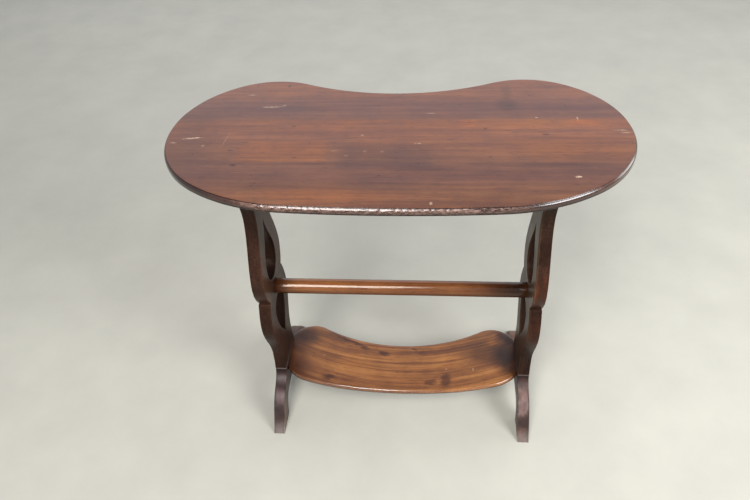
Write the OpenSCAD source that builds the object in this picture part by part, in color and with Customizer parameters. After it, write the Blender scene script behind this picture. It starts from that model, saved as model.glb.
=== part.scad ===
// Kidney-shaped occasional table: a moulded top on two lyre-shaped end boards, which stand on
// arched feet and are tied by a round stretcher and a kidney-shaped shelf.
// Millimetres, +Z up, front towards -Y. The origin is on the floor under the middle of the top.

/* [Overall] */
// Height from the floor to the upper face of the top
table_h = 698; // [685:1:730]
// How far the outer faces of the end boards stand in from the ends of the top
end_inset = 120; // [105:1:130]
// Thickness of the end boards, the feet and the bearers
board_t = 25; // [23:0.5:30]

/* [Top] */
// Width of the top
top_w = 816; // [800:1:850]
// Depth of the top
top_d = 408; // [400:1:420]
// Thickness of the top
top_t = 13; // [12:0.5:16]
// Bow of the front edge, from its middle back to the line of the end centres
front_bow = 8.8; // [6:0.1:12]
// How far before the end centres the front edge starts to turn
shoulder_l = 41; // [34:1:50]
// Distance of the end centres behind the middle of the top
end_y = 15; // [8:1:18]
// How much less the radius of the ends is than half the depth
end_less = 9; // [6:0.5:12]
// How much less the radius of the rear lobes is than that of the ends
lobe_less = 48; // [45:1:60]
// Depth of the rear hollow
hollow_in = 51; // [40:1:60]
// Width of the moulding round the upper edge
mould_w = 3.5; // [3:0.5:8]
// Step at the inner edge of the moulding
quirk = 1.2; // [0.6:0.1:2]
// Height of the moulding's quarter round
ovolo_h = 7; // [5:0.5:8]
// Rounding of the lower edge
under_round = 1.5; // [1:0.25:2.5]
// Rear glue line, distance behind the middle
glue_back = 55; // [40:1:80]
// Front glue line, distance in front of the middle
glue_front = 80; // [60:1:100]

/* [Lyre ends] */
// Width where the lyre meets its foot
ankle_w = 102; // [96:1:110]
// Height of that joint
ankle_z = 107; // [102:1:112]
// Width of the waist above the foot
waist_w = 93; // [86:1:98]
// Height of the waist
waist_z = 155; // [148:1:162]
// Width of the lower lobe
lower_lobe_w = 159; // [150:1:170]
// Height of the widest part of the lower lobe
lower_lobe_z = 270; // [262:1:278]
// Width of the ledge under the notch
ledge_w = 127; // [122:1:134]
// Width inside the notch
notch_w = 116; // [110:1:121]
// Height of the notch
notch_z = 332; // [326:1:338]
// Width of the upper lobe
upper_lobe_w = 161; // [152:1:172]
// Height of the widest part of the upper lobe
upper_lobe_z = 389; // [380:1:398]
// Width of the neck
neck_w = 80; // [74:1:88]
// Height of the neck
neck_z = 542; // [534:1:556]
// Width of the head, under the bearer
head_w = 152; // [140:1:165]
// Width of the upper opening
upper_hole_w = 78; // [70:1:82]
// Length of the upper opening
upper_hole_l = 151.5; // [140:0.5:160]
// Height of its round lower end
upper_hole_round = 42.5; // [36:0.5:50]
// How full its pointed part is, from 0 for an S-curve to 1 for a rounded one
upper_hole_full = 0.25; // [0:0.05:1]
// Wood between it and the stretcher
upper_hole_over = 15.5; // [11:0.5:20]
// Width of the lower opening
lower_hole_w = 76; // [68:1:80]
// Length of the lower opening
lower_hole_l = 122; // [112:1:128]
// Height of its round upper end
lower_hole_round = 31; // [25:1:36]
// How full its pointed part is
lower_hole_full = 1; // [0:0.05:1]
// Wood between it and the stretcher
lower_hole_under = 5; // [3:0.5:8]

/* [Feet] */
// Reach of each foot to the front, from the middle of the lyre
foot_front_l = 155.5; // [150:0.5:165]
// Reach of each foot to the back
foot_back_l = 170; // [155:0.5:180]
// Half-width at the flattest part of the instep
instep_y = 84; // [78:1:90]
// Height of the instep
instep_z = 75; // [70:1:80]
// Distance of the knuckle from the tip of the toe
toe_l = 29.5; // [24:0.5:34]
// Height of the knuckle
knuckle_z = 37; // [32:1:42]
// Length of each pad that stands on the floor
pad_l = 62; // [54:1:68]
// Height of the arch between the pads
arch_h = 45; // [38:1:50]
// Length of the level crown of the arch
arch_crown = 110; // [90:1:120]

/* [Bearers] */
// How far the ends of the bearers stand in from the front and back of the top
bearer_inset = 54; // [50:1:64]
// Height of the bearer
bearer_h = 16; // [16:0.5:20]
// Bevel under each end of the bearer
bearer_bevel = 5; // [2:0.5:8]

/* [Stretcher] */
// Diameter of the stretcher
rod_d = 32.5; // [28:0.5:36]
// Height of its centre line
rod_z = 326; // [322:1:330]
// Diameter of its turned tenons
tenon_d = 20; // [16:0.5:22]
// Length of each tenon
tenon_l = 18; // [14:0.5:20]

/* [Shelf] */
// How far the kidney outline of the shelf would run past the feet, where it is sawn off
shelf_over = 17; // [12:0.5:26]
// Depth of the shelf
shelf_d = 190; // [186:1:200]
// Thickness of the shelf
shelf_t = 13; // [12:0.5:15]
// Height of its upper face
shelf_z = 95; // [92:1:98]
// Bow of its front edge, from its middle back to the line of its end centres
shelf_bow = 18.6; // [16:0.1:20]
// How far before its end centres its front edge starts to turn
shelf_shoulder_l = 82; // [70:1:95]
// Distance of its end centres behind its middle
shelf_end_y = 16.6; // [14:0.2:18]
// How much less the radius of its ends is than half its depth
shelf_end_less = 7; // [5:0.5:8]
// How much less the radius of its rear lobes is than that of its ends
shelf_lobe_less = 31; // [26:1:36]
// Depth of its rear hollow
shelf_hollow_in = 57; // [50:1:60]
// Depth of the rounded nose round its edge
nose_w = 5; // [3:0.5:6]
// Distance of the shelf's middle in front of the table's middle
shelf_forward = 1.5; // [0:0.5:4]

/* [Dowels and screws] */
// Diameter of the dowels in the glue lines of the top
top_dowel_d = 6; // [5:0.5:7]
// Length of those dowels
top_dowel_l = 36; // [28:1:44]
// Spacing of those dowels along the glue lines
top_dowel_gap = 140; // [120:1:150]
// Number of those dowels in each glue line
top_dowel_n = 5; // [3:1:5]
// Diameter of the dowels between foot and lyre
ankle_dowel_d = 10; // [8:0.5:11]
// Length of those dowels
ankle_dowel_l = 48; // [40:1:54]
// Distance of those dowels from the middle
ankle_dowel_y = 24; // [22:0.5:26]
// Diameter of the dowels between lyre and bearer
head_dowel_d = 8; // [6:0.5:9]
// How far those dowels stand in the bearer
head_dowel_up = 11; // [9:0.5:12]
// How far those dowels stand in the lyre
head_dowel_down = 22; // [18:1:26]
// Distance of those dowels from the middle
head_dowel_y = 45; // [40:1:50]
// Diameter of the dowels in the ends of the shelf
shelf_dowel_d = 7; // [5:0.5:7.5]
// How far those dowels stand in the foot, and in the shelf
shelf_dowel_half = 16; // [12:0.5:19]
// Spacing of the two dowels in each end of the shelf
shelf_dowel_gap = 45; // [44:0.5:48]
// Diameter of the screw shanks
screw_d = 4; // [3.5:0.25:4.5]
// Diameter of the screw heads
screw_head_d = 8; // [7:0.25:9]
// How far the screws go into the top
screw_bite = 9; // [6:0.5:10]
// Distance of the screws from the middle
screw_y = 116; // [104:1:124]

/* [Fit] */
// Play round each dowel, tenon and screw
play = 0.1; // [0.05:0.01:0.2]
// Space left at the bottom of each blind hole
hole_spare = 1; // [0.5:0.25:2]

/* [Hidden] */

top_under = table_h - top_t;
bearer_under = top_under - bearer_h;
bearer_l = top_d - 2 * bearer_inset;
inner_x = top_w / 2 - end_inset - board_t;
board_x = inner_x + board_t / 2;
shelf_w = 2 * (inner_x + shelf_over);
shelf_mid_z = shelf_z - shelf_t / 2;
upper_hole_foot = rod_z + rod_d / 2 + upper_hole_over;
lower_hole_head = rod_z - rod_d / 2 - lower_hole_under;
screw_l = bearer_h + screw_bite;
arc_step = 11;       // longest chord along the kidney outlines
curve_steps = 12;    // points along each swelling of the lyre and the feet
ovolo_step = 15;     // degrees between points of the moulding's quarter round
round_step = 30;     // degrees between points of the lower edge
nose_step = 20;      // degrees between points of the shelf's nose
oval_step = 10;      // degrees between points of the openings and the arch
turn = 48;           // facets of the round parts where they are only drawn
lap = 50;            // how far cutting blocks run past what they cut
quirk_lean = 0.3;    // slope of the step beside the moulding
slot_w = 1.2;        // screwdriver slot
slot_h = 1;
head_rise = 2.4;     // height of the countersunk heads
tip_l = 5;           // pointed end of the screws
// Handles of the curves down each foot, from the points that they belong to
ankle_pull = [0.5, -15];
instep_pull_up = [-22, 7];
instep_pull_down = [20, -7];
knuckle_pull = [10, -13];
toe_pull = [-15, 16];

finish_top = [0.36, 0.17, 0.11];
finish_end = [0.20, 0.10, 0.08];
finish_rod = [0.50, 0.25, 0.13];
finish_dowel = [0.75, 0.60, 0.42];
finish_steel = [0.55, 0.54, 0.50];

// Points of an arc from angle a0 to a1; the count follows the full radius, so inset rings match
function arc(c, r, a0, a1, inset) =
    let (n = max(2, ceil(abs(a1 - a0) * PI / 180 * r / arc_step)))
    [for (i = [0:n - 1]) let (a = a0 + (a1 - a0) * i / n) c + (r - inset) * [cos(a), sin(a)]];

function mirrored(half) =
    concat(half, [for (i = [len(half) - 1:-1:0]) if (abs(half[i][0]) > 0.001) [-half[i][0], half[i][1]]]);

// Kidney outline of tangent arcs: front, shoulder, end, rear lobe and rear hollow, and their mirror
// images. Each radius r follows from the depth or from the arcs beside it, and a is where an arc ends.
function kidney(w, d, bow, turn_l, middle_y, end_short, lobe_short, hollow_h, inset) =
    let (end_r = d / 2 - end_short,
         end = [w / 2 - end_r, middle_y],
         front_r = (pow(end[0], 2) + bow * bow) / (2 * bow),
         front = [0, front_r - d / 2],
         front_a = asin((end[0] - turn_l) / front_r) - 90,
         out = [cos(front_a), sin(front_a)],
         meet = front + front_r * out - end,
         shoulder_r = (meet * meet - end_r * end_r) / (2 * (meet * out - end_r)),
         shoulder = front + (front_r - shoulder_r) * out,
         shoulder_a = atan2(end[1] - shoulder[1], end[0] - shoulder[0]),
         lobe_r = end_r - lobe_short,
         end_a = asin((d / 2 - lobe_r - middle_y) / lobe_short),
         lobe = end + lobe_short * [cos(end_a), sin(end_a)],
         down = lobe_r - hollow_h,
         hollow_r = (pow(lobe[0], 2) + down * down - lobe_r * lobe_r) / (2 * hollow_h),
         hollow = [0, d / 2 - hollow_h + hollow_r],
         hollow_a = atan2(lobe[1] - hollow[1], lobe[0]))
    mirrored(concat(
        arc(front, front_r, -90, front_a, inset),
        arc(shoulder, shoulder_r, front_a, shoulder_a, inset),
        arc(end, end_r, shoulder_a, end_a, inset),
        arc(lobe, lobe_r, end_a, 180 + hollow_a, inset),
        arc(hollow, hollow_r, hollow_a, -90, -inset),
        [[0, d / 2 - hollow_h - inset]]));

function top_outline(inset) =
    kidney(top_w, top_d, front_bow, shoulder_l, end_y, end_less, lobe_less, hollow_in, inset);
function shelf_outline(inset) =
    kidney(shelf_w, shelf_d, shelf_bow, shelf_shoulder_l, shelf_end_y, shelf_end_less,
           shelf_lobe_less, shelf_hollow_in, inset);

// Edge sections, each a list of [inset, drop below the upper face]
function moulded_edge() = concat(
    [[mould_w, 0]],
    [for (a = [0:ovolo_step:90]) let (s = mould_w - quirk_lean)
        [s * (1 - sin(a)), quirk + ovolo_h * (1 - cos(a))]],
    [for (a = [0:round_step:90]) [under_round * (1 - cos(a)), top_t - under_round * (1 - sin(a))]]);
function nosed_edge() =
    [for (a = [0:nose_step:180]) [nose_w * (1 - sin(a)), shelf_t / 2 * (1 - cos(a))]];

// Solid with its upper face at z, from the rings that an edge section gives
module ringed(rings, drops, z) {
    n = len(rings[0]);
    m = len(rings);
    points = [for (k = [0:m - 1]) for (p = rings[k]) [p[0], p[1], z - drops[k]]];
    sides = [for (k = [0:m - 2]) for (i = [0:n - 1])
        let (j = (i + 1) % n, a = k * n + i, b = k * n + j, c = a + n, d = b + n)
        each [[a, b, d], [a, d, c]]];
    upper = [for (i = [n - 1:-1:0]) i];
    lower = [for (i = [0:n - 1]) (m - 1) * n + i];
    polyhedron(points, concat([upper], sides, [lower]), convexity = 4);
}

// Smooth swing between two widths, level at both ends, as [half-width, height]
function swing(z0, w0, z1, w1) =
    [for (i = [0:curve_steps - 1]) let (t = i / curve_steps, s = t * t * (3 - 2 * t))
        [w0 + (w1 - w0) * s, z0 + (z1 - z0) * t]];
// Swell that starts steep at z0 and is level at z1
function swell(z0, w0, z1, w1) =
    [for (i = [0:curve_steps - 1]) let (t = i / curve_steps)
        [w1 - (w1 - w0) * pow(1 - t, 2), z0 + (z1 - z0) * t]];
function reversed(list) = [for (i = [len(list) - 1:-1:0]) list[i]];
function bezier(a, b, c, d) =
    [for (i = [0:curve_steps - 1]) let (t = i / curve_steps, u = 1 - t)
        u * u * u * a + 3 * u * u * t * b + 3 * u * t * t * c + t * t * t * d];

function lyre_half() = concat(
    swell(ankle_z, ankle_w / 2, waist_z, waist_w / 2),
    swing(waist_z, waist_w / 2, lower_lobe_z, lower_lobe_w / 2),
    [[lower_lobe_w / 2, lower_lobe_z]],
    reversed(swell(notch_z, ledge_w / 2, lower_lobe_z, lower_lobe_w / 2)),
    swell(notch_z, notch_w / 2, upper_lobe_z, upper_lobe_w / 2),
    swing(upper_lobe_z, upper_lobe_w / 2, neck_z, neck_w / 2),
    swing(neck_z, neck_w / 2, bearer_under, head_w / 2),
    [[head_w / 2, bearer_under]]);

// Opening from its round end at z to its pointed end, half-width against height; way is up or down
function opening_half(w, l, round_h, full, z, way) = concat(
    [for (a = [0:oval_step:90 - oval_step]) [w / 2 * sin(a), z + way * round_h * (1 - cos(a))]],
    [for (i = [0:curve_steps - 1])
        let (t = i / curve_steps, share = full * cos(90 * t) + (1 - full) * (1 - t * t * (3 - 2 * t)))
        [w / 2 * share, z + way * (round_h + (l - round_h) * t)]],
    [[0, z + way * l]]);

function foot_upper_half(reach_l) =
    let (ankle = [ankle_w / 2, ankle_z],
         instep = [instep_y, instep_z],
         knuckle = [reach_l - toe_l, knuckle_z],
         toe = [reach_l, 0])
    concat(
        bezier(ankle, ankle + ankle_pull, instep + instep_pull_up, instep),
        bezier(instep, instep + instep_pull_down, knuckle - knuckle_pull, knuckle),
        bezier(knuckle, knuckle + knuckle_pull, toe + toe_pull, toe));

function foot_arch_half(reach_l) =
    let (spring = reach_l - pad_l - arch_crown / 2)
    [for (a = [0:oval_step:90]) [arch_crown / 2 + spring * cos(a), arch_h * sin(a)]];
// Half of a foot from the ankle round the toe to the middle of the arch
function foot_half(reach_l) = concat(foot_upper_half(reach_l), [[reach_l, 0]], foot_arch_half(reach_l));

// Stands a profile of [y, z] points up as a board of the given thickness, centred on x
module board(thickness) {
    rotate([90, 0, 90]) translate([0, 0, -thickness / 2]) linear_extrude(thickness, convexity = 6) children();
}

module at_ends() {
    for (side = [-1, 1]) translate([side * board_x, 0, 0]) children();
}

module top_solid() {
    edge = moulded_edge();
    ringed([for (e = edge) top_outline(e[0])], [for (e = edge) e[1]], table_h);
}

module top_slab(y0, y1) {
    translate([-top_w / 2 - lap, y0, top_under - lap]) cube([top_w + 2 * lap, y1 - y0, top_t + 2 * lap]);
}

// Axes of the dowels in the two glue lines
module at_top_dowels() {
    for (y = [-glue_front, glue_back]) for (i = [0:top_dowel_n - 1])
        translate([(i - (top_dowel_n - 1) / 2) * top_dowel_gap, y, table_h - top_t / 2])
            rotate([90, 0, 0]) children();
}

module top_dowel_holes() {
    at_top_dowels()
        cylinder(d = top_dowel_d + 2 * play, h = top_dowel_l + 2 * hole_spare, center = true, $fn = turn);
}

module at_screws() {
    at_ends() for (y = [-screw_y, screw_y]) translate([0, y, bearer_under]) children();
}

module screw_pilots() {
    at_screws() cylinder(d = screw_d + 2 * play, h = screw_l + hole_spare, $fn = turn);
}

module top_board(y0, y1) {
    color(finish_top) difference() {
        intersection() {
            top_solid();
            top_slab(y0, y1);
        }
        top_dowel_holes();
        screw_pilots();
    }
}

module top_board_front() { top_board(-top_d, -glue_front); }
module top_board_middle() { top_board(-glue_front, glue_back); }
module top_board_back() { top_board(glue_back, top_d); }

module top_dowels() {
    color(finish_dowel) at_top_dowels() cylinder(d = top_dowel_d, h = top_dowel_l, center = true, $fn = turn);
}

module at_head_dowels() {
    at_ends() for (y = [-head_dowel_y, head_dowel_y])
        translate([0, y, bearer_under - head_dowel_down]) children();
}

module head_dowels() {
    color(finish_dowel) at_head_dowels()
        cylinder(d = head_dowel_d, h = head_dowel_down + head_dowel_up, $fn = turn);
}

module head_dowel_holes() {
    at_head_dowels() translate([0, 0, -hole_spare])
        cylinder(d = head_dowel_d + 2 * play, h = head_dowel_down + head_dowel_up + 2 * hole_spare,
                 $fn = turn);
}

module bearer(side) {
    half = bearer_l / 2;
    color(finish_end) difference() {
        translate([side * board_x, 0, 0]) board(board_t) polygon([
            [-half, top_under], [-half, bearer_under + bearer_bevel], [-half + bearer_bevel, bearer_under],
            [half - bearer_bevel, bearer_under], [half, bearer_under + bearer_bevel], [half, top_under]]);
        head_dowel_holes();
        at_screws() {
            cylinder(d = screw_d + 2 * play, h = screw_l + hole_spare, $fn = turn);
            translate([0, 0, -play]) cylinder(d1 = screw_head_d + 2 * play, d2 = screw_d + 2 * play,
                                              h = head_rise + 2 * play, $fn = turn);
        }
    }
}

module bearer_left() { bearer(-1); }
module bearer_right() { bearer(1); }

module bearer_screws() {
    color(finish_steel) at_screws() difference() {
        rotate_extrude($fn = turn) polygon([
            [0, 0], [screw_head_d / 2, 0], [screw_d / 2, head_rise],
            [screw_d / 2, screw_l - tip_l], [0, screw_l]]);
        translate([-screw_head_d, -slot_w / 2, -lap]) cube([2 * screw_head_d, slot_w, lap + slot_h]);
    }
}

module ankle_dowel_at(extra, r_extra) {
    at_ends() for (y = [-ankle_dowel_y, ankle_dowel_y])
        translate([0, y, ankle_z]) cylinder(d = ankle_dowel_d + 2 * r_extra, h = ankle_dowel_l + 2 * extra,
                                            center = true, $fn = turn);
}

module ankle_dowels() { color(finish_dowel) ankle_dowel_at(0, 0); }

module lyre(side) {
    color(finish_end) difference() {
        translate([side * board_x, 0, 0]) board(board_t) difference() {
            polygon(mirrored(lyre_half()));
            polygon(mirrored(opening_half(
                upper_hole_w, upper_hole_l, upper_hole_round, upper_hole_full, upper_hole_foot, 1)));
            polygon(mirrored(opening_half(
                lower_hole_w, lower_hole_l, lower_hole_round, lower_hole_full, lower_hole_head, -1)));
        }
        head_dowel_holes();
        ankle_dowel_at(hole_spare, play);
        tenon_bore(side);
    }
}

module lyre_left() { lyre(-1); }
module lyre_right() { lyre(1); }

module tenon_bore(side) {
    translate([side * (inner_x + (tenon_l + hole_spare - lap) / 2), 0, rod_z]) rotate([0, 90, 0])
        cylinder(d = tenon_d + 2 * play, h = tenon_l + hole_spare + lap, center = true, $fn = turn);
}

module foot(side) {
    color(finish_end) difference() {
        translate([side * board_x, 0, 0]) board(board_t) polygon(concat(
            foot_half(foot_back_l), [for (p = reversed(foot_half(foot_front_l))) [-p[0], p[1]]]));
        ankle_dowel_at(hole_spare, play);
        shelf_dowel_at(hole_spare, play);
    }
}

module foot_left() { foot(-1); }
module foot_right() { foot(1); }

module stretcher() {
    color(finish_rod) translate([0, 0, rod_z]) rotate([0, 90, 0]) {
        cylinder(d = rod_d, h = 2 * inner_x, center = true, $fn = turn);
        cylinder(d = tenon_d, h = 2 * (inner_x + tenon_l), center = true, $fn = turn);
    }
}

// The two dowels in each end of the shelf lie between and behind the ankle dowels
module shelf_dowel_at(extra, r_extra) {
    for (side = [-1, 1]) for (y = [0, shelf_dowel_gap])
        translate([side * inner_x, y, shelf_mid_z]) rotate([0, 90, 0])
            cylinder(d = shelf_dowel_d + 2 * r_extra, h = 2 * (shelf_dowel_half + extra),
                     center = true, $fn = turn);
}

module shelf_dowels() { color(finish_dowel) shelf_dowel_at(0, 0); }

module shelf_solid() {
    edge = nosed_edge();
    ringed([for (e = edge) shelf_outline(e[0])], [for (e = edge) e[1]], shelf_z);
}

module shelf() {
    color(finish_rod) difference() {
        intersection() {
            translate([0, -shelf_forward, 0]) shelf_solid();
            translate([-inner_x, -shelf_w, 0]) cube([2 * inner_x, 2 * shelf_w, shelf_z + lap]);
        }
        shelf_dowel_at(hole_spare, play);
    }
}

top_board_front();
top_board_middle();
top_board_back();
top_dowels();
bearer_left();
bearer_right();
bearer_screws();
lyre_left();
lyre_right();
head_dowels();
foot_left();
foot_right();
ankle_dowels();
stretcher();
shelf();
shelf_dowels();
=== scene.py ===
import bpy
import bmesh
from math import asin, atan2, ceil, cos, pi, radians, sin
from mathutils import Matrix, Vector, noise


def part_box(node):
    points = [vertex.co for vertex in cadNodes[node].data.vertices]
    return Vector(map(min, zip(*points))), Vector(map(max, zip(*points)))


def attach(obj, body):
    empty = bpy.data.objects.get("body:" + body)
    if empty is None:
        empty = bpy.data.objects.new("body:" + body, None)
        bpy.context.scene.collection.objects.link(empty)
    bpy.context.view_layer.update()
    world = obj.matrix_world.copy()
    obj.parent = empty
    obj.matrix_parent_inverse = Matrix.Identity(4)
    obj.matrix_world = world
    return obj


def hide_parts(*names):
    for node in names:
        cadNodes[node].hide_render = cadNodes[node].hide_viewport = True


# Kidney table: a moulded top on two lyre ends, with feet, a stretcher and a shelf.
# Blender works in metres; the dictionaries below are in millimetres.
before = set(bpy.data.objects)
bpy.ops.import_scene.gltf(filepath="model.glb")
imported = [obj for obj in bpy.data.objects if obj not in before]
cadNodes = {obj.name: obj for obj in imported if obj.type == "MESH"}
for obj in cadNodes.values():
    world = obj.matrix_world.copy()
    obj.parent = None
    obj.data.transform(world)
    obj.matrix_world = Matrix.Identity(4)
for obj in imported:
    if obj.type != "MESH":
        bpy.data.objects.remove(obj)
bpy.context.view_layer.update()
mm = 0.001
print("frame loaded with", len(cadNodes), "nodes")


# Shader helpers

def feed(tree, value, socket):
    if isinstance(value, bpy.types.NodeSocket):
        tree.links.new(value, socket)
    elif isinstance(value, (tuple, list)) and len(value) == 3 and socket.type == "RGBA":
        socket.default_value = (*value, 1)
    else:
        socket.default_value = value


def put(tree, kind, values=None, **settings):
    node = tree.nodes.new("ShaderNode" + kind)
    for key, value in settings.items():
        setattr(node, key, value)
    for key, value in (values or {}).items():
        feed(tree, value, node.inputs[key])
    return node


def calc(tree, action, a, b=0.0, clamp=False):
    return put(tree, "Math", {0: a, 1: b}, operation=action, use_clamp=clamp).outputs[0]


def mixColour(tree, share, a, b, mode="MIX"):
    node = put(tree, "Mix", data_type="RGBA", blend_type=mode)
    for socket, value in zip((node.inputs[0], node.inputs[6], node.inputs[7]), (share, a, b)):
        feed(tree, value, socket)
    return node.outputs[2]


def ramp(tree, share, stops):
    node = put(tree, "ValToRGB", {"Fac": share})
    elements = node.color_ramp.elements
    while len(elements) < len(stops):
        elements.new(1.0)
    for element, (place, colour) in zip(elements, stops):
        element.position = place
        element.color = (*colour, 1) if isinstance(colour, tuple) else (colour, colour, colour, 1)
    return node.outputs[0]


def noiseAt(tree, vector, scale, detail=3.0, rough=0.5, swirl=0.0):
    node = put(tree, "TexNoise", {"Vector": vector, "Scale": scale, "Detail": detail, "Roughness": rough,
                                  "Distortion": swirl})
    return node.outputs["Fac"]


def stretched(tree, vector, axis, along, across):
    scale = [along if letter == axis else across for letter in "XYZ"]
    return put(tree, "Mapping", {"Vector": vector, "Scale": scale}).outputs[0]


# A soft patch of a stain, of painted light or shade, or of a scratch, 1 in its middle and 0 outside
def spot(tree, vector, mark):
    node = put(tree, "Mapping", {"Vector": vector}, vector_type="TEXTURE")
    node.inputs["Location"].default_value = (mark["at"][0] * mm, mark["at"][1] * mm, 0)
    node.inputs["Rotation"].default_value = (0, 0, radians(mark["turn"]))
    node.inputs["Scale"].default_value = (mark["size"][0] * mm / 2, mark["size"][1] * mm / 2, 1000)
    if mark["square"]:
        sides = put(tree, "SeparateXYZ", {0: node.outputs[0]})
        reach = calc(tree, "MAXIMUM", *[calc(tree, "ABSOLUTE", sides.outputs[i]) for i in (0, 1)])
    else:
        reach = put(tree, "VectorMath", {0: node.outputs[0]}, operation="LENGTH").outputs["Value"]
    ends = {"Value": reach, "From Min": 1.0, "From Max": 1.0 - mark["soft"]}
    return put(tree, "MapRange", ends, interpolation_type="SMOOTHSTEP").outputs[0]


# Noise that moves a place by up to half of its reach, in millimetres
def wander(tree, vector, scale, detail, reach):
    node = put(tree, "TexNoise", {"Vector": vector, "Scale": scale, "Detail": detail})
    move = put(tree, "VectorMath", {0: node.outputs["Color"], 1: (0.5, 0.5, 0.5)}, operation="SUBTRACT")
    return put(tree, "VectorMath", {0: move.outputs[0], "Scale": reach * mm}, operation="SCALE").outputs[0]


def moved(tree, place, move):
    return put(tree, "VectorMath", {0: place, 1: move}).outputs[0]


# The grain follows the kidney's curve
def bentPlace(tree, place, bend):
    sides = put(tree, "SeparateXYZ", {0: place}).outputs
    lift = calc(tree, "MULTIPLY", calc(tree, "POWER", sides[0], 2.0), bend)
    bent = calc(tree, "SUBTRACT", sides[1], lift)
    return put(tree, "CombineXYZ", {0: sides[0], 1: bent, 2: sides[2]}).outputs[0]


# Each board has its own grain, with a thin line between two boards
def boardGrain(tree, place, grain, joints):
    seam = 0.0
    for joint in joints:
        depth = put(tree, "SeparateXYZ", {0: place}).outputs[1]
        behind = calc(tree, "GREATER_THAN", depth, joint * mm)
        jump = put(tree, "VectorMath", {0: (0.83, 0.31, 0.17), "Scale": behind}, operation="SCALE")
        grain = moved(tree, grain, jump.outputs[0])
        line = put(tree, "Math", {0: depth, 1: joint * mm, 2: 0.45 * mm}, operation="COMPARE").outputs[0]
        seam = calc(tree, "MAXIMUM", seam, line)
    return grain, seam


# Tones across the width of the boards
def bandColour(tree, place, colour, look):
    depth = put(tree, "SeparateXYZ", {0: place}).outputs[1]
    ends = {"Value": depth, "From Min": look["bandFrom"] * mm, "From Max": look["bandTo"] * mm}
    across = put(tree, "MapRange", ends).outputs[0]
    return mixColour(tree, 1.0, colour, ramp(tree, across, look["bands"]), "MULTIPLY")


# Stains and patches of painted light and shade, ragged along the streaks of the grain
def stainAndPaintedLightColour(tree, place, streak, colour, look):
    for mark in look["stainsAndPaintedLight"]:
        ragged = calc(tree, "ADD", calc(tree, "MULTIPLY", streak, look["ragged"]), look["raggedBase"])
        share = calc(tree, "MULTIPLY", spot(tree, place, mark), ragged)
        share = calc(tree, "MULTIPLY", share, mark["share"], clamp=True)
        colour = mixColour(tree, share, colour, mark["colour"], mark["mode"])
    return colour


# Small dark pits here and there
def pitShare(tree, place, look):
    pits = put(tree, "TexVoronoi", {"Vector": place, "Scale": look["pitScale"], "Randomness": 1.0})
    cloud = noiseAt(tree, place, look["pitScale"] * 0.31, 0.0)
    rare = calc(tree, "GREATER_THAN", cloud, look["pitRare"])
    mask = ramp(tree, pits.outputs["Distance"], [(0.05, 1.0), (0.13, 0.0)])
    return calc(tree, "MULTIPLY", calc(tree, "MULTIPLY", mask, rare), look["pitDark"])


# All scratches of a look as one mask, broken up by noise
def scratchShare(tree, flat, place, look):
    mask = 0.0
    for mark in look["scratches"]:
        share = calc(tree, "MULTIPLY", spot(tree, flat, mark), mark["share"])
        mask = calc(tree, "MAXIMUM", mask, share)
    broken = ramp(tree, noiseAt(tree, place, look["brokenScale"], 3.0, 0.7), [(0.36, 0.0), (0.58, 1.0)])
    return calc(tree, "MULTIPLY", mask, broken)


# Painted shade, grime and wear are duller than the polish
def feedGloss(tree, shader, blotch, worn, shadeAndGrime, look):
    rough = ramp(tree, blotch, [(0.3, look["gloss"][0]), (0.7, look["gloss"][1])])
    rough = calc(tree, "ADD", rough, calc(tree, "MULTIPLY", worn, 0.2))
    clean = calc(tree, "SUBTRACT", 1.0, calc(tree, "MULTIPLY", shadeAndGrime, 0.85))
    feed(tree, rough, shader.inputs["Roughness"])
    feed(tree, look["ior"], shader.inputs["IOR"])
    feed(tree, look["shine"], shader.inputs["Specular Tint"])
    feed(tree, calc(tree, "MULTIPLY", clean, look["level"]), shader.inputs["Specular IOR Level"])
    feed(tree, calc(tree, "MULTIPLY", clean, look["coat"]), shader.inputs["Coat Weight"])
    feed(tree, look["coatRough"], shader.inputs["Coat Roughness"])


# Fine relief of the surface, over slow waves from the plane
def feedRelief(tree, shader, place, height, look):
    relief = put(tree, "Bump", {"Height": height, "Strength": look["bump"], "Distance": 0.3 * mm})
    waves = noiseAt(tree, stretched(tree, place, look["axis"], 6.0, 14.0), 1.0, 1.0)
    relief = put(tree, "Bump", {"Height": waves, "Strength": look["waves"], "Distance": 2 * mm,
                                "Normal": relief.outputs[0]})
    feed(tree, relief.outputs[0], shader.inputs["Normal"])
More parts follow.
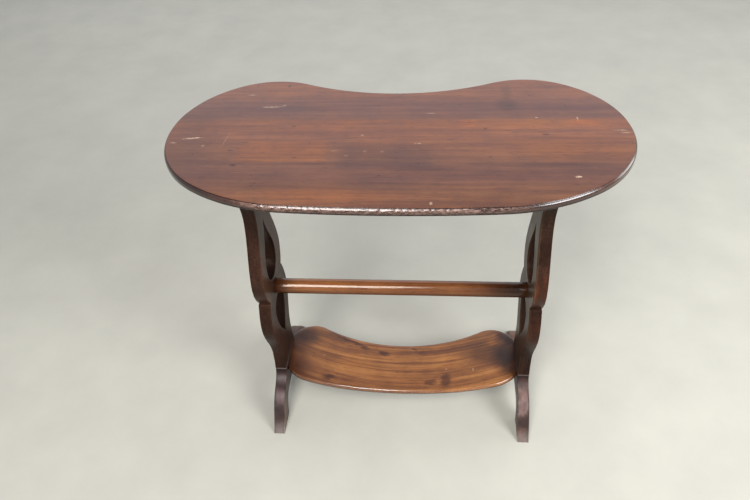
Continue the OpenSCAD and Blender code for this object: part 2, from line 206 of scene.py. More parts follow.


# Wood from a look: three tones, grain axis, stains and painted light and shade, scratches, wear with
# painted highlights, painted shade with grime, and gloss
def woodMaterial(name, look):
    material = bpy.data.materials.new(name)
    material.use_nodes = True
    tree = material.node_tree
    shader = tree.nodes["Principled BSDF"]
    flat = put(tree, "TexCoord").outputs["Object"]
    place = bentPlace(tree, flat, look["bend"])
    axis = look["axis"]
    sway = wander(tree, stretched(tree, place, axis, 0.5, 1.0), look["swayScale"], 2.0, look["sway"])
    fray = wander(tree, stretched(tree, place, axis, 40.0, 130.0), 1.0, 4.0, look["fray"])
    swayed = moved(tree, place, sway)
    marked = moved(tree, moved(tree, flat, sway), fray)
    grain, seam = boardGrain(tree, place, swayed, look["joints"])

    broad = noiseAt(tree, stretched(tree, grain, axis, 1.0, look["broad"]), 1.6, 2.0)
    streak = noiseAt(tree, stretched(tree, grain, axis, look["streakLong"], look["streak"]), 1.8, 5.0, 0.62)
    fine = noiseAt(tree, stretched(tree, grain, axis, 9.0, look["fine"]), 1.0, 3.0, 0.6)
    blotch = noiseAt(tree, grain, look["blotchScale"], 4.0, 0.55)
    tone = calc(tree, "MULTIPLY", broad, look["mix"][0])
    for part, share in ((streak, look["mix"][1]), (fine, look["mix"][2]), (blotch, look["mix"][3])):
        tone = calc(tree, "ADD", tone, calc(tree, "MULTIPLY", part, share))
    colour = ramp(tree, tone, look["tones"])

    if "bands" in look:
        colour = bandColour(tree, swayed, colour, look)
    colour = stainAndPaintedLightColour(tree, marked, streak, colour, look)
    colour = mixColour(tree, calc(tree, "MULTIPLY", seam, look["seam"]), colour, look["poreColour"])

    flecks = noiseAt(tree, stretched(tree, grain, axis, 60.0, 900.0), 1.0, 1.0)
    pores = ramp(tree, flecks, [(0.30, 1.0), (0.42, 0.0)])
    colour = mixColour(tree, calc(tree, "MULTIPLY", pores, look["pores"]), colour, look["poreColour"])
    colour = mixColour(tree, pitShare(tree, place, look), colour, look["poreColour"])
    scratches = scratchShare(tree, flat, place, look)
    colour = mixColour(tree, scratches, colour, look["scratchColour"])

    wearAndHighlight = put(tree, "Attribute", attribute_name="wearAndHighlight", attribute_type="GEOMETRY").outputs["Fac"]
    shadeAndGrime = put(tree, "Attribute", attribute_name="shadeAndGrime", attribute_type="GEOMETRY").outputs["Fac"]
    chipped = stretched(tree, place, axis, look["chipLong"], 1.0)
    chips = noiseAt(tree, chipped, look["chipScale"], 6.0, 0.72, 0.8)
    # Worn wood and painted highlights, both from the vertex marks, lighten the colour
    wornFrom, wornFull = look["wornFrom"]
    worn = calc(tree, "MULTIPLY", wearAndHighlight, ramp(tree, chips, [(wornFrom, 0.0), (wornFull, 1.0)]))
    colour = mixColour(tree, worn, colour, look["wornAndHighlightColour"])
    # Painted shade and some grime, from the vertex marks, darken the colour and dull the gloss
    shadeAndGrimeShare = calc(tree, "MULTIPLY", shadeAndGrime, ramp(tree, chips, [(0.30, 1.0), (0.75, 0.55)]))
    colour = mixColour(tree, shadeAndGrimeShare, colour, look["shadeAndGrimeColour"])
    feed(tree, colour, shader.inputs["Base Color"])
    feedGloss(tree, shader, blotch, worn, shadeAndGrimeShare, look)

    height = calc(tree, "SUBTRACT", calc(tree, "MULTIPLY", fine, 0.5), calc(tree, "MULTIPLY", pores, 0.5))
    height = calc(tree, "ADD", height, calc(tree, "MULTIPLY", chips, look["chipBump"]))
    feedRelief(tree, shader, place, calc(tree, "SUBTRACT", height, scratches), look)
    return material


# Marks on the wood and patches of painted light and shade: place and size in millimetres, turn in degrees
def stainAndPaintedLight(at, size, share, colour, mode="MULTIPLY", soft=0.8, turn=0, square=False):
    return {"at": at, "size": size, "share": share, "colour": colour, "mode": mode,
            "soft": soft, "turn": turn, "square": square}


def scratch(at, size, share=1.0, soft=0.7, turn=0):
    return {"at": at, "size": size, "share": share, "soft": soft, "turn": turn, "square": False}


woodBase = {
    "bend": 0.0, "swayScale": 5.0, "sway": 8.0, "fray": 6.0, "joints": (), "stainsAndPaintedLight": (), "scratches": (),
    "ior": 1.5, "shine": (1.0, 1.0, 1.0), "level": 0.5, "coat": 0.0, "coatRough": 0.2,
    "broad": 14.0, "streak": 60.0, "streakLong": 1.4, "fine": 420.0, "blotchScale": 22.0,
    "mix": (0.40, 0.34, 0.14, 0.12), "seam": 0.2, "ragged": 1.6, "raggedBase": 0.2,
    "pores": 0.45, "poreColour": (0.020, 0.009, 0.007), "pitScale": 90.0, "pitRare": 0.66, "pitDark": 0.7,
    "chipScale": 330.0, "chipLong": 1.0, "chipBump": 0.3, "bump": 0.30, "waves": 0.08,
    "wornFrom": (0.44, 0.60), "wornAndHighlightColour": (0.22, 0.10, 0.06),
    "scratchColour": (0.55, 0.40, 0.27), "brokenScale": 260.0, "shadeAndGrimeColour": (0.010, 0.005, 0.004)}

warm = (1.35, 1.15, 0.75)
plum = (0.72, 0.74, 0.95)
dark = (0.35, 0.32, 0.36)

# The top's bands run from its front edge to its back edge
topLook = woodBase | {
    "axis": "X", "gloss": (0.27, 0.36), "joints": (-80, 55),
    "mix": (0.21, 0.36, 0.23, 0.20), "streakLong": 2.4,
    "tones": [(0.40, (0.118, 0.039, 0.023)), (0.50, (0.172, 0.059, 0.030)), (0.60, (0.232, 0.084, 0.039))],
    "bandFrom": -204, "bandTo": 204,
    "bands": [(0.0, (0.92, 0.95, 0.80)), (0.07, (0.97, 1.01, 0.82)), (0.15, (0.80, 0.85, 0.82)),
              (0.20, (0.66, 0.69, 0.87)), (0.285, (0.69, 0.73, 0.86)), (0.31, (0.80, 0.85, 0.86)),
              (0.38, (0.88, 0.89, 0.83)), (0.46, (0.95, 0.95, 0.90)), (0.52, (1.04, 1.03, 0.97)),
              (0.57, (1.17, 1.11, 0.89)), (0.63, (1.10, 1.04, 0.82)), (0.645, (0.72, 0.76, 0.93)),
              (0.74, (0.755, 0.81, 1.04)), (0.81, (0.86, 0.89, 1.02)), (0.87, (1.04, 1.03, 0.97)),
              (1.0, (1.1, 1.05, 0.92))],
    "stainsAndPaintedLight": [
        stainAndPaintedLight((-235, 97), (330, 74), 0.5, plum),
        stainAndPaintedLight((175, 98), (420, 62), 0.5, plum),
        stainAndPaintedLight((-190, -47), (172, 76), 0.8, (1.3, 1.16, 0.8), square=True, soft=0.25),
        stainAndPaintedLight((-12, -62), (186, 80), 0.75, (0.68, 0.72, 0.95), square=True, soft=0.3),
        stainAndPaintedLight((-5, -135), (230, 70), 0.7, plum),
        stainAndPaintedLight((-110, -170), (330, 60), 0.5, warm),
        stainAndPaintedLight((210, -172), (280, 64), 0.5, (0.80, 0.82, 0.84)),
        stainAndPaintedLight((300, -38), (320, 120), 0.8, (1.06, 0.94, 0.66)),
        stainAndPaintedLight((240, 42), (330, 44), 0.6, (1.02, 0.98, 0.74)),
        stainAndPaintedLight((128, 40), (34, 30), 0.6, warm, square=True, soft=0.4),
        stainAndPaintedLight((328, 45), (60, 26), 0.7, warm, square=True, soft=0.5),
        stainAndPaintedLight((-365, -10), (190, 330), 0.85, (0.74, 0.76, 0.86)),
        stainAndPaintedLight((200, 106), (60, 64), 0.8, (0.6, 0.64, 0.72)),
        stainAndPaintedLight((203, 150), (30, 80), 0.7, (0.66, 0.68, 0.75)),
        stainAndPaintedLight((270, -84), (220, 26), 0.7, (0.72, 0.70, 0.78)),
        stainAndPaintedLight((-213, 182), (11, 12), 1.0, dark),
        stainAndPaintedLight((-183, 32), (13, 11), 0.7, dark),
        stainAndPaintedLight((-165, -66), (12, 6), 1.0, dark),
        stainAndPaintedLight((-260, -20), (18, 5), 0.9, dark),
        stainAndPaintedLight((-265, -88), (16, 10), 0.9, dark),
        stainAndPaintedLight((-280, -44), (16, 5), 0.9, dark),
        stainAndPaintedLight((-20, -116), (7, 6), 1.0, dark),
        stainAndPaintedLight((257, 5), (20, 7), 0.9, dark),
        stainAndPaintedLight((157, 24), (9, 6), 0.9, dark),
        stainAndPaintedLight((160, -62), (9, 8), 0.6, dark)],
    "scratches": [
        scratch((-358, -6), (46, 6), turn=9),
        scratch((-388, -21), (18, 5), turn=3, share=0.6),
        scratch((-332, -30), (10, 6), turn=30, share=0.4),
        scratch((-234, 101), (54, 7), turn=3, share=0.55),
        scratch((-212, 106), (10, 6), turn=40, share=0.6),
        scratch((-282, 147), (26, 7), turn=4, share=0.35),
        scratch((62, 76), (30, 4), turn=-2, share=0.45),
        scratch((41, -23), (18, 4), turn=-2, share=0.6),
        scratch((-56, 3), (9, 6), share=0.5),
        scratch((-100, -45), (18, 6), turn=10, share=0.25, soft=0.9),
        scratch((-48, -47), (9, 8), share=0.28, soft=0.9),
        scratch((-78, -60), (12, 7), share=0.2, soft=0.9),
        scratch((-19, -48), (10, 6), share=0.25, soft=0.9),
        scratch((293, -118), (15, 7), turn=5, share=1.3),
        scratch((318, 56), (4, 16), share=0.7),
        scratch((248, 60), (7, 6), share=0.6),
        scratch((-296, -10), (3, 60), turn=-6, share=0.22),
        scratch((384, 18), (40, 7), share=0.4, soft=0.9),
        scratch((391, 10), (26, 6), turn=4, share=0.45, soft=0.9),
        scratch((64, -188), (8, 10), share=0.7)]}
underLook = woodBase | {
    "axis": "X", "gloss": (0.55, 0.7), "bump": 0.6,
    "tones": [(0.41, (0.060, 0.026, 0.014)), (0.50, (0.105, 0.048, 0.026)), (0.59, (0.150, 0.072, 0.040))]}
edgeLook = woodBase | {
    "axis": "X", "gloss": (0.18, 0.24), "coat": 0.8, "coatRough": 0.15,
    "chipLong": 0.4, "chipBump": 0.25, "bump": 0.25, "wornFrom": (0.42, 0.60),
    "tones": [(0.41, (0.022, 0.009, 0.006)), (0.50, (0.046, 0.017, 0.011)), (0.59, (0.080, 0.030, 0.018))],
    # painted shade, darkening the left end of the moulded edge
    "stainsAndPaintedLight": [stainAndPaintedLight((-345, -110), (300, 300), 1.0, (0.40, 0.36, 0.38))],
    "wornAndHighlightColour": (0.40, 0.25, 0.20)}
endLook = woodBase | {
    "axis": "Z", "broad": 10.0,
    "gloss": (0.27, 0.38), "ior": 1.36, "shine": (1.0, 0.84, 0.62), "level": 0.20,
    "tones": [(0.41, (0.010, 0.0046, 0.0038)), (0.50, (0.021, 0.009, 0.0065)),
              (0.59, (0.040, 0.016, 0.010))],
    "stainsAndPaintedLight": [
        stainAndPaintedLight((280, -91), (60, 58), 0.9, (2.8, 2.0, 1.5)),
        # painted reflection: an olive-brown sheen added to the inner faces of both ends
        stainAndPaintedLight((-262, 0), (10, 400), 1.0, (0.010, 0.005, 0.001), mode="ADD", soft=0.5),
        stainAndPaintedLight((262, 0), (10, 400), 1.0, (0.034, 0.023, 0.010), mode="ADD", soft=0.5)],
    "wornAndHighlightColour": (0.085, 0.045, 0.032), "chipBump": 0.1}
footLook = endLook | {
    "axis": "Y", "wornFrom": (0.28, 0.48),
    "gloss": (0.34, 0.44), "ior": 1.42, "shine": (0.98, 0.90, 0.90), "level": 0.5,
    "tones": [(0.41, (0.020, 0.010, 0.009)), (0.50, (0.038, 0.018, 0.015)), (0.59, (0.065, 0.033, 0.027))],
    "stainsAndPaintedLight": [
        # painted highlight: a sheen down the middle of each foot's front face
        stainAndPaintedLight((-275.5, -100), (28, 46), 1.0, (1.9, 2.1, 2.3), square=True, soft=0.6),
        stainAndPaintedLight((275.5, -93), (28, 64), 1.3, (3.2, 4.0, 4.2), square=True, soft=0.6),
        stainAndPaintedLight((275.5, -146), (30, 40), 1.0, (1.8, 1.7, 1.3), square=True, soft=0.6),
        stainAndPaintedLight((-261, -132), (12, 100), 1.0, (0.050, 0.028, 0.012), mode="ADD", soft=0.5),
        stainAndPaintedLight((275, 130), (120, 160), 1.1, (3.4, 2.6, 1.9)),
        stainAndPaintedLight((-275, 130), (120, 160), 1.0, (2.1, 1.6, 1.2))],
    "wornAndHighlightColour": (0.42, 0.36, 0.33)}
rodLook = woodBase | {
    "axis": "X", "streak": 90.0, "bump": 0.15, "waves": 0.04, "shadeAndGrimeColour": (0.060, 0.020, 0.007),
    "gloss": (0.10, 0.15), "shine": (1.0, 0.9, 0.8), "level": 0.6,
    "stainsAndPaintedLight": [
        # painted shade, darkening the rod towards both ends
        stainAndPaintedLight((270, 0), (400, 900), 0.9, (0.28, 0.25, 0.30), soft=1.0),
        stainAndPaintedLight((290, 0), (240, 500), 1.4, (0.20, 0.22, 0.30), soft=0.9),
        stainAndPaintedLight((-290, 0), (200, 500), 1.4, (0.24, 0.20, 0.22), soft=0.9)],
    "tones": [(0.41, (0.115, 0.036, 0.012)), (0.50, (0.205, 0.072, 0.023)), (0.59, (0.30, 0.115, 0.036))]}
shelfLook = woodBase | {
    "axis": "X", "sway": 14.0, "fray": 22.0, "bend": 0.9,
    "gloss": (0.30, 0.42), "coat": 0.35, "coatRough": 0.12,
    "mix": (0.24, 0.44, 0.20, 0.12),
    "tones": [(0.42, (0.115, 0.036, 0.012)), (0.50, (0.235, 0.085, 0.021)), (0.58, (0.360, 0.145, 0.038))],
    "stainsAndPaintedLight": [
        # painted shade, darkening the left end next to the foot
        stainAndPaintedLight((-232, 62), (120, 90), 1.0, (0.30, 0.26, 0.30)),
        stainAndPaintedLight((-262, -5), (170, 300), 1.0, (0.42, 0.34, 0.31)),
        stainAndPaintedLight((-175, -8), (100, 120), 0.65, (0.66, 0.62, 0.62)),
        stainAndPaintedLight((115, -27), (80, 18), 0.8, (1.35, 1.35, 1.15)),
        stainAndPaintedLight((40, -12), (80, 30), 0.5, (0.72, 0.66, 0.66)),
        # painted shade at the left end
        stainAndPaintedLight((-215, -35), (70, 60), 0.5, (0.55, 0.48, 0.5)),
        stainAndPaintedLight((-120, 42), (170, 15), 1.2, (0.34, 0.28, 0.34), turn=-26),
        stainAndPaintedLight((-165, 60), (120, 50), 0.9, (0.42, 0.38, 0.46), turn=-24),
        stainAndPaintedLight((-40, 9), (40, 15), 1.3, (0.32, 0.26, 0.32), turn=-14),
        stainAndPaintedLight((30, 27), (20, 10), 1.2, (0.35, 0.30, 0.32), turn=-20),
        stainAndPaintedLight((50, 14), (26, 22), 0.6, (0.5, 0.44, 0.45), turn=-30),
        stainAndPaintedLight((20, -14), (60, 16), 0.4, (0.6, 0.5, 0.5)),
        # painted shade, darkening the right end next to the foot, with the next two patches
        stainAndPaintedLight((205, 12), (190, 84), 1.0, (0.44, 0.39, 0.42)),
        stainAndPaintedLight((260, 14), (124, 190), 1.3, (0.26, 0.21, 0.21)),
        stainAndPaintedLight((240, 70), (70, 40), 1.2, (0.28, 0.23, 0.24), turn=-40),
        stainAndPaintedLight((213, 50), (36, 24), 0.8, (1.7, 1.6, 1.1), turn=20),
        stainAndPaintedLight((104, -62), (36, 56), 1.1, (0.40, 0.34, 0.38), turn=-10),
        stainAndPaintedLight((66, -70), (44, 20), 1.1, (0.42, 0.35, 0.38), turn=5),
        stainAndPaintedLight((-162, -65), (54, 16), 1.2, (0.36, 0.30, 0.35), turn=-8),
        stainAndPaintedLight((0, -68), (480, 56), 0.7, (0.72, 0.64, 0.62)),
        stainAndPaintedLight((150, -45), (110, 22), 0.5, (0.62, 0.54, 0.52), turn=6),
        stainAndPaintedLight((-115, -20), (110, 46), 0.7, (1.3, 1.3, 1.05), turn=-6),
        stainAndPaintedLight((120, 0), (110, 20), 0.5, (1.35, 1.35, 1.1))],
    "scratches": [
        scratch((165, -30), (4, 10), share=0.7),
        scratch((104, -32), (6, 10), share=0.35),
        scratch((-182, 0), (9, 9), share=0.3, soft=0.8)],
    "wornAndHighlightColour": (0.46, 0.24, 0.15)}
dowelLook = woodBase | {
    "axis": "Z", "gloss": (0.6, 0.7), "shadeAndGrimeColour": (0.2, 0.14, 0.08),
    "tones": [(0.41, (0.42, 0.29, 0.16)), (0.50, (0.52, 0.37, 0.21)), (0.59, (0.62, 0.46, 0.28))]}

topWood = woodMaterial("topWood", topLook)
underWood = woodMaterial("underWood", underLook)
edgeWood = woodMaterial("edgeWood", edgeLook)
endWood = woodMaterial("endWood", endLook)
footWood = woodMaterial("footWood", footLook)
rodWood = woodMaterial("rodWood", rodLook)
shelfWood = woodMaterial("shelfWood", shelfLook)
noseWood = woodMaterial("noseWood", shelfLook | {"coat": 1.0, "coatRough": 0.1, "gloss": (0.20, 0.28)})
dowelWood = woodMaterial("dowelWood", dowelLook)


def steelMaterial(name):
    material = bpy.data.materials.new(name)
    material.use_nodes = True
    tree = material.node_tree
    shader = tree.nodes["Principled BSDF"]
    place = put(tree, "TexCoord").outputs["Object"]
    lines = noiseAt(tree, stretched(tree, place, "Z", 300.0, 2600.0), 1.0, 2.0)
    colour = ramp(tree, lines, [(0.3, (0.36, 0.35, 0.33)), (0.7, (0.58, 0.57, 0.54))])
    feed(tree, colour, shader.inputs["Base Color"])
    feed(tree, ramp(tree, lines, [(0.3, 0.28), (0.7, 0.45)]), shader.inputs["Roughness"])
    shader.inputs["Metallic"].default_value = 1.0
    return material


screwSteel = steelMaterial("screwSteel")
print("materials made")


# Mesh helpers

def smoothstep(low, high, value):
    t = min(max((value - low) / (high - low), 0.0), 1.0)
    return t * t * (3 - 2 * t)


# Rises from 0 at the first of two places to 1 at the second, both in millimetres
def fade(places, value):
    return smoothstep(places[0] * mm, places[1] * mm, value)


def newBoard():
    board = bmesh.new()
    board.verts.layers.float.new("wearAndHighlight")
    board.verts.layers.float.new("shadeAndGrime")
    return board


# Adds a point to a ring, with its share of wear and painted highlight and its share of painted shade and
# grime
def addPoint(board, ring, place, wearAndHighlight, shadeAndGrime):
    vert = board.verts.new(place)
    vert[board.verts.layers.float["wearAndHighlight"]] = wearAndHighlight
    vert[board.verts.layers.float["shadeAndGrime"]] = shadeAndGrime
    ring.append(vert)


def joinRings(board, rings):
    for upper, lower in zip(rings, rings[1:]):
        for i in range(len(upper)):
            j = (i + 1) % len(upper)
            board.faces.new((upper[i], upper[j], lower[j], lower[i]))


# Closes the first and the last ring of a board
def capRings(board, rings):
    board.faces.new(rings[0])
    board.faces.new(list(reversed(rings[-1])))


# Saws a board off at a plane and closes the cut
def sawOff(board, place, way):
    parts = board.verts[:] + board.edges[:] + board.faces[:]
    cut = bmesh.ops.bisect_plane(board, geom=parts, dist=1e-7, plane_co=place, plane_no=way,
                                 clear_outer=True)
    edges = [item for item in cut["geom_cut"] if isinstance(item, bmesh.types.BMEdge)]
    bmesh.ops.edgeloop_fill(board, edges=edges)


def faceOutward(board):
    bmesh.ops.recalc_face_normals(board, faces=board.faces)
    if board.calc_volume(signed=True) < 0:
        bmesh.ops.reverse_faces(board, faces=board.faces)


def finishPiece(name, board, materials, cadNode, drills=()):
    low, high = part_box(cadNode)
    for vert in board.verts:
        vert.co = [min(max(vert.co[i], low[i]), high[i]) for i in range(3)]
    faceOutward(board)
    mesh = bpy.data.meshes.new(name)
    board.to_mesh(mesh)
    board.free()
    piece = bpy.data.objects.new(name, mesh)
    bpy.context.scene.collection.objects.link(piece)
    for material in materials:
        mesh.materials.append(material)
    for drill in drills:
        boreOut(piece, drill)
    piece.data.polygons.foreach_set("use_smooth", [True] * len(piece.data.polygons))
    piece.data.set_sharp_from_angle(angle=radians(38))
    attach(piece, "root")
    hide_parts(cadNode)
    return piece


drillPlay = 0.15 * mm


# Drill of the shape of a dowel or screw node, with a little play
def nodeDrill(cadNode):
    cutter = bmesh.new()
    cutter.from_mesh(cadNodes[cadNode].data)
    bmesh.ops.remove_doubles(cutter, verts=cutter.verts, dist=1e-6)
    faceOutward(cutter)
    cutter.normal_update()
    for vert in cutter.verts:
        vert.co += vert.normal * drillPlay
    return cutter


# The stretcher is a hand-planed round rod with a turned tenon at each end
rodShape = {
    "tenon": 20, "tenonLength": 18, "ease": 0.8, "wobble": 0.25, "shadeBand": (12, 0), "sides": 72, "rings": 90}


# Drill for a tenon, on the inner side of an end board
def tenonDrill(side, face):
    low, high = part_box("stretcher")
    radius = rodShape["tenon"] * mm / 2 + drillPlay
    start, stop = face - 5 * mm, high.x + drillPlay
    cutter = bmesh.new()
    turn = Matrix.Rotation(pi / 2, 4, "Y")
    place = Matrix.Translation((side * (start + stop) / 2, 0, (low.z + high.z) / 2))
    bmesh.ops.create_cone(cutter, cap_ends=True, segments=48, radius1=radius, radius2=radius,
                          depth=stop - start, matrix=place @ turn)
    faceOutward(cutter)
    return cutter


def boreOut(piece, cutter):
    mesh = bpy.data.meshes.new("drill")
    cutter.to_mesh(mesh)
    cutter.free()
    tool = bpy.data.objects.new("drill", mesh)
    bpy.context.scene.collection.objects.link(tool)
    cut = piece.modifiers.new("bore", "BOOLEAN")
    cut.operation = "DIFFERENCE"
    cut.solver = "FAST"
    cut.object = tool
    graph = bpy.context.evaluated_depsgraph_get()
    bored = bpy.data.meshes.new_from_object(piece.evaluated_get(graph))
    piece.modifiers.remove(cut)
    piece.data = bored
    bpy.data.objects.remove(tool)


# Points of a kidney outline of tangent arcs, each with its outward direction
def kidneyOutline(width, depth, shape, step):
    bow, turnLength, endBack, endLess, lobeLess, hollow = [
        shape[key] * mm for key in ("bow", "turnLength", "endBack", "endLess", "lobeLess", "hollow")]
    endR = depth / 2 - endLess
    end = Vector((width / 2 - endR, endBack))
    frontR = (end.x ** 2 + bow ** 2) / (2 * bow)
    front = Vector((0, frontR - depth / 2))
    frontA = asin((end.x - turnLength) / frontR) - pi / 2
    out = Vector((cos(frontA), sin(frontA)))
    meet = front + frontR * out - end
    shoulderR = (meet.dot(meet) - endR ** 2) / (2 * (meet.dot(out) - endR))
    shoulder = front + (frontR - shoulderR) * out
    shoulderA = atan2(end.y - shoulder.y, end.x - shoulder.x)
    lobeR = endR - lobeLess
    endA = asin((depth / 2 - lobeR - endBack) / lobeLess)
    lobe = end + lobeLess * Vector((cos(endA), sin(endA)))
    down = lobeR - hollow
    hollowR = (lobe.x ** 2 + down ** 2 - lobeR ** 2) / (2 * hollow)
    middle = Vector((0, depth / 2 - hollow + hollowR))
    hollowA = atan2(lobe.y - middle.y, lobe.x)
    half = []
    arcs = [(front, frontR, -pi / 2, frontA, 1), (shoulder, shoulderR, frontA, shoulderA, 1),
            (end, endR, shoulderA, endA, 1), (lobe, lobeR, endA, pi + hollowA, 1),
            (middle, hollowR, hollowA, -pi / 2, -1)]
    for centre, radius, start, stop, side in arcs:
        count = max(2, ceil(abs(stop - start) * radius / step))
        for i in range(count):
            angle = start + (stop - start) * i / count
            way = Vector((cos(angle), sin(angle)))
            half.append((centre + radius * way, side * way))
    half.append((Vector((0, depth / 2 - hollow)), Vector((0, 1))))
    other = [(Vector((-p.x, p.y)), Vector((-n.x, n.y))) for p, n in reversed(half[1:-1])]
    return half + other


# Top: three boards with a moulded edge that is chipped along the front
topShape = {
    "bow": 8.8, "turnLength": 41, "endBack": 15, "endLess": 9, "lobeLess": 48, "hollow": 51,
    "mould": 3.5, "quirk": 1.2, "lean": 0.3, "rise": 60, "underRound": 1.5, "step": 1.5,
    "chipDepth": 0.55, "chipLeft": (-265, -185), "chipRight": (240, 130), "chipBack": (-105, -135),
    "clean": (120, 220)}
topBoards = ("top_board_front", "top_board_middle", "top_board_back")


def frontWear(x, y):
    return fade(topShape["chipLeft"], x) * fade(topShape["chipRight"], x) * fade(topShape["chipBack"], y)


# Edge section as (inset, drop, wear and painted highlight, painted shade and grime, chip), in millimetres
# and shares
def topEdge(thickness):
    mould, quirk, under = [topShape[key] for key in ("mould", "quirk", "underRound")]
    start = mould - topShape["lean"]
    # the rows at the quirk are darker and duller
    edge = [(mould + 4, 0, 0, 0, 0), (mould + 0.7, 0, 0.05, 0, 0),
            (mould + 0.2, 0.05, 0.3, 0.25, 0.4), (mould, 0.25, 0.5, 0.5, 0.5),
            (mould - 0.15, 0.75, 0.0, 0.95, 0.2), (start, quirk, 0.0, 1.0, 0.3)]
    rise = radians(topShape["rise"])
    bend = start / (1 - cos(rise))
    # the arc's wear share is highest at its top, where it carries wear and a painted highlight; its lower
    # rows get painted shade
    for i in range(1, 11):
        angle = rise * (1 - i / 10)
        edge.append((start - bend * (cos(angle) - cos(rise)), quirk + bend * (sin(rise) - sin(angle)),
                     1 - 0.05 * i, 0.35 * (i > 7), sin(2 * angle)))
    # painted shade: the upright face and the under round are darker and duller
    edge.append((0, thickness - under - 2.6, 0.4, 0.5, 0.2))
    edge.append((0, thickness - under - 0.4, 0.05, 1.0, 0.3))
    for i in range(0, 5):
        angle = radians(22.5 * i)
        edge.append((under * (1 - cos(angle)), thickness - under * (1 - sin(angle)), 0.1, 1.0, 0.2))
    edge.append((under + 1.0, thickness, 0, 0.7, 0))
    return edge


def makeTop():
    boxes = [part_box(name) for name in topBoards]
    low = Vector([min(box[0][i] for box in boxes) for i in range(3)])
    high = Vector([max(box[1][i] for box in boxes) for i in range(3)])
    outline = kidneyOutline(high.x - low.x, high.y - low.y, topShape, topShape["step"] * mm)
    whole = newBoard()
    rings = []
    for inset, drop, wearAndHighlight, shadeAndGrime, chip in topEdge((high.z - low.z) / mm):
        ring = []
        for p, n in outline:
            worn = frontWear(p.x, p.y)
            bite = 0.05
            for scale, share in ((170, 1.0), (420, 0.5)):
                bite += share * noise.noise(Vector((p.x * scale, p.y * scale, drop * mm * scale)))
            bite = max(0.0, bite) * chip * worn * topShape["chipDepth"]
            spread = 0.08 * noise.noise(Vector((p.x * 40, p.y * 40, 3.0)))
            q = p - n * (inset + bite * 0.7 + max(0.0, spread)) * mm
            z = high.z - (drop + bite * 0.7) * mm
            # the darkening in the quirk fades out towards the right
            clean = 0.8 * fade(topShape["clean"], p.x) if drop <= topShape["quirk"] else 0.0
            addPoint(whole, ring, (q.x, q.y, z), wearAndHighlight * (0.06 + 0.94 * worn), shadeAndGrime * (1 - clean))
        rings.append(ring)
    joinRings(whole, rings)
    capRings(whole, rings)
    bmesh.ops.recalc_face_normals(whole, faces=whole.faces)
    lines = [None, boxes[0][1].y, boxes[1][1].y, None]
    for name, front, back in zip(topBoards, lines, lines[1:]):
        part = whole.copy()
        for y, way in ((front, -1), (back, 1)):
            if y is not None:
                sawOff(part, (0, y, 0), (0, way, 0))
        for face in part.faces:
            if face.normal.z < -0.9:
                face.material_index = 1
            elif face.calc_center_median().z < high.z - 0.03 * mm:
                face.material_index = 2
        materials = [topWood, underWood, edgeWood]
        drills = (nodeDrill("top_dowels"), nodeDrill("bearer_screws"))
        finishPiece("plank_" + name.split("_")[-1], part, materials, name, drills)
    whole.free()
    print("top made of three boards,", len(outline), "points round its edge")


makeTop()


# Closed outlines in (y, z), metres. The wood lies to the left of the way round.
# A swell leaves its first point slanted and ends upright; a swing is upright at both ends.

def swell(z0, w0, z1, w1, count):
    shares = [i / count for i in range(count)]
    return [(w1 - (w1 - w0) * (1 - share) ** 2, z0 + (z1 - z0) * share) for share in shares]


def swing(z0, w0, z1, w1, count):
    shares = [i / count for i in range(count)]
    return [(w0 + (w1 - w0) * smoothstep(0, 1, share), z0 + (z1 - z0) * share) for share in shares]


def bezier(a, b, c, d, count):
    points = []
    for i in range(count):
        t = i / count
        points.append(tuple((1 - t) ** 3 * a[k] + 3 * (1 - t) ** 2 * t * b[k] + 3 * (1 - t) * t * t * c[k]
                            + t ** 3 * d[k] for k in (0, 1)))
    return points


def mirroredLoop(half):
    other = [(-w, z) for w, z in reversed(half) if abs(w) > 1e-6]
    return [Vector((w * mm, z * mm)) for w, z in half + other]


sharpTurn = radians(28)


# Rounds the sharp corners of a loop a little
def easeLoop(loop, radius):
    eased = []
    for i, p in enumerate(loop):
        before = p - loop[i - 1]
        after = loop[(i + 1) % len(loop)] - p
        turn = before.angle(after)
        if turn < sharpTurn:
            eased.append(p)
            continue
        cut = min(radius * mm * abs(turn) / 2, 0.45 * before.length, 0.45 * after.length)
        a = p - before.normalized() * cut
        b = p + after.normalized() * cut
        for k in range(5):
            t = k / 4
            eased.append((1 - t) ** 2 * a + 2 * t * (1 - t) * p + t * t * b)
    return eased


# Ways into the wood, longer at corners so that an inset keeps its width
def intoWood(loop):
    ways = []
    for i, p in enumerate(loop):
        before = (p - loop[i - 1]).normalized()
        after = (loop[(i + 1) % len(loop)] - p).normalized()
        one = Vector((-before.y, before.x))
        two = Vector((-after.y, after.x))
        way = (one + two) / max(1 + one.dot(two), 0.35)
        ways.append(way)
    return ways


# The walls of the openings get painted shade.
boardLook = {
    "ease": 1.1, "easeMore": 0.9, "corner": 1.2, "wobble": 0.12,
    "arrisWear": 0.9, "faceWear": 0.3, "sideWear": 0.4, "holeShade": 0.6}


# Rings of one face: the first lies on the face, the others go over the arris
def arrisRings(board, loop, ways, face, inward, marks):
    wearAndHighlightAt, shadeAndGrimeAt, holeShade = marks
    rings = []
    for k in range(-1, 5):
        worn = boardLook["arrisWear" if 0 < k < 4 else "faceWear"]
        ring = []
        for p, way in zip(loop, ways):
            soft = noise.noise(Vector((p.x * 60, p.y * 60, face * 7)))
            ease = (boardLook["ease"] + boardLook["easeMore"] * max(0.0, soft)) * mm
            inset, drop = ease + 0.5 * mm, 0.0
            if k >= 0:
                angle = pi / 8 * k
                inset, drop = ease * (1 - sin(angle)), ease * (1 - cos(angle))
            q = p + way * inset
            shadeAndGrime = max(shadeAndGrimeAt(q.x, q.y), holeShade if k > 1 else 0.0)
            addPoint(board, ring, (face + inward * drop, q.x, q.y), wearAndHighlightAt(q.x, q.y) * worn, shadeAndGrime)
        rings.append(ring)
    return rings


